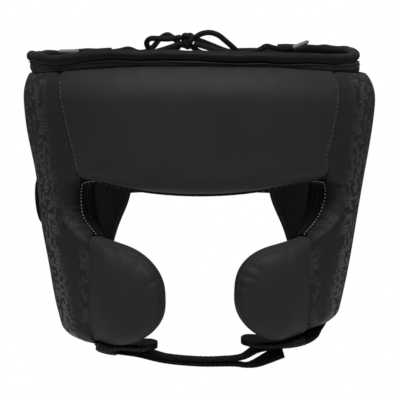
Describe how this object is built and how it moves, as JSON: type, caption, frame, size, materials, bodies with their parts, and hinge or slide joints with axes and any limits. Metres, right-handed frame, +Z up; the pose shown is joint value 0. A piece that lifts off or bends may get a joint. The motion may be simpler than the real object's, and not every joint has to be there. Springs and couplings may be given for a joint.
{
  "type": "boxing head guard",
  "caption": "Padded black boxing head guard with open crown, forehead, side and cheek pads, ear openings, crown lace, rear strap and chin strap.",
  "frame": {"origin": "middle of the top rim, where the crown of the head sits", "axes": "+Z up out of the crown, the face looks along -Y, +X is the wearer's left"},
  "size_m": [0.2388, 0.2301, 0.2217],
  "materials": {
    "cover": "matte grained synthetic leather",
    "lining": "dull woven textile",
    "webbing": "dull webbing",
    "lace": "braided cord",
    "aglet": "clear plastic tip"
  },
  "bodies": {
    "root": {"lining": "lining", "forehead_pad": "cover", "side_pad_left": "cover", "side_pad_right": "cover", "cheek_pad_left": "cover", "cheek_pad_right": "cover", "collar": "lining", "top_binding": "cover", "face_binding": "lining", "edge_binding_left": "lining", "edge_binding_right": "lining", "rear_strap": "webbing", "chin_tab_left": "cover", "chin_tab_right": "cover", "chin_strap_left": "webbing", "chin_strap_right": "webbing", "crown_lace": "lace", "lace_loop_left": "lace", "lace_loop_right": "lace", "lace_tail_left": "lace", "lace_tail_right": "lace", "lace_knot": "lace", "aglet_left": "aglet", "aglet_right": "aglet"}
  },
  "joints": []
}
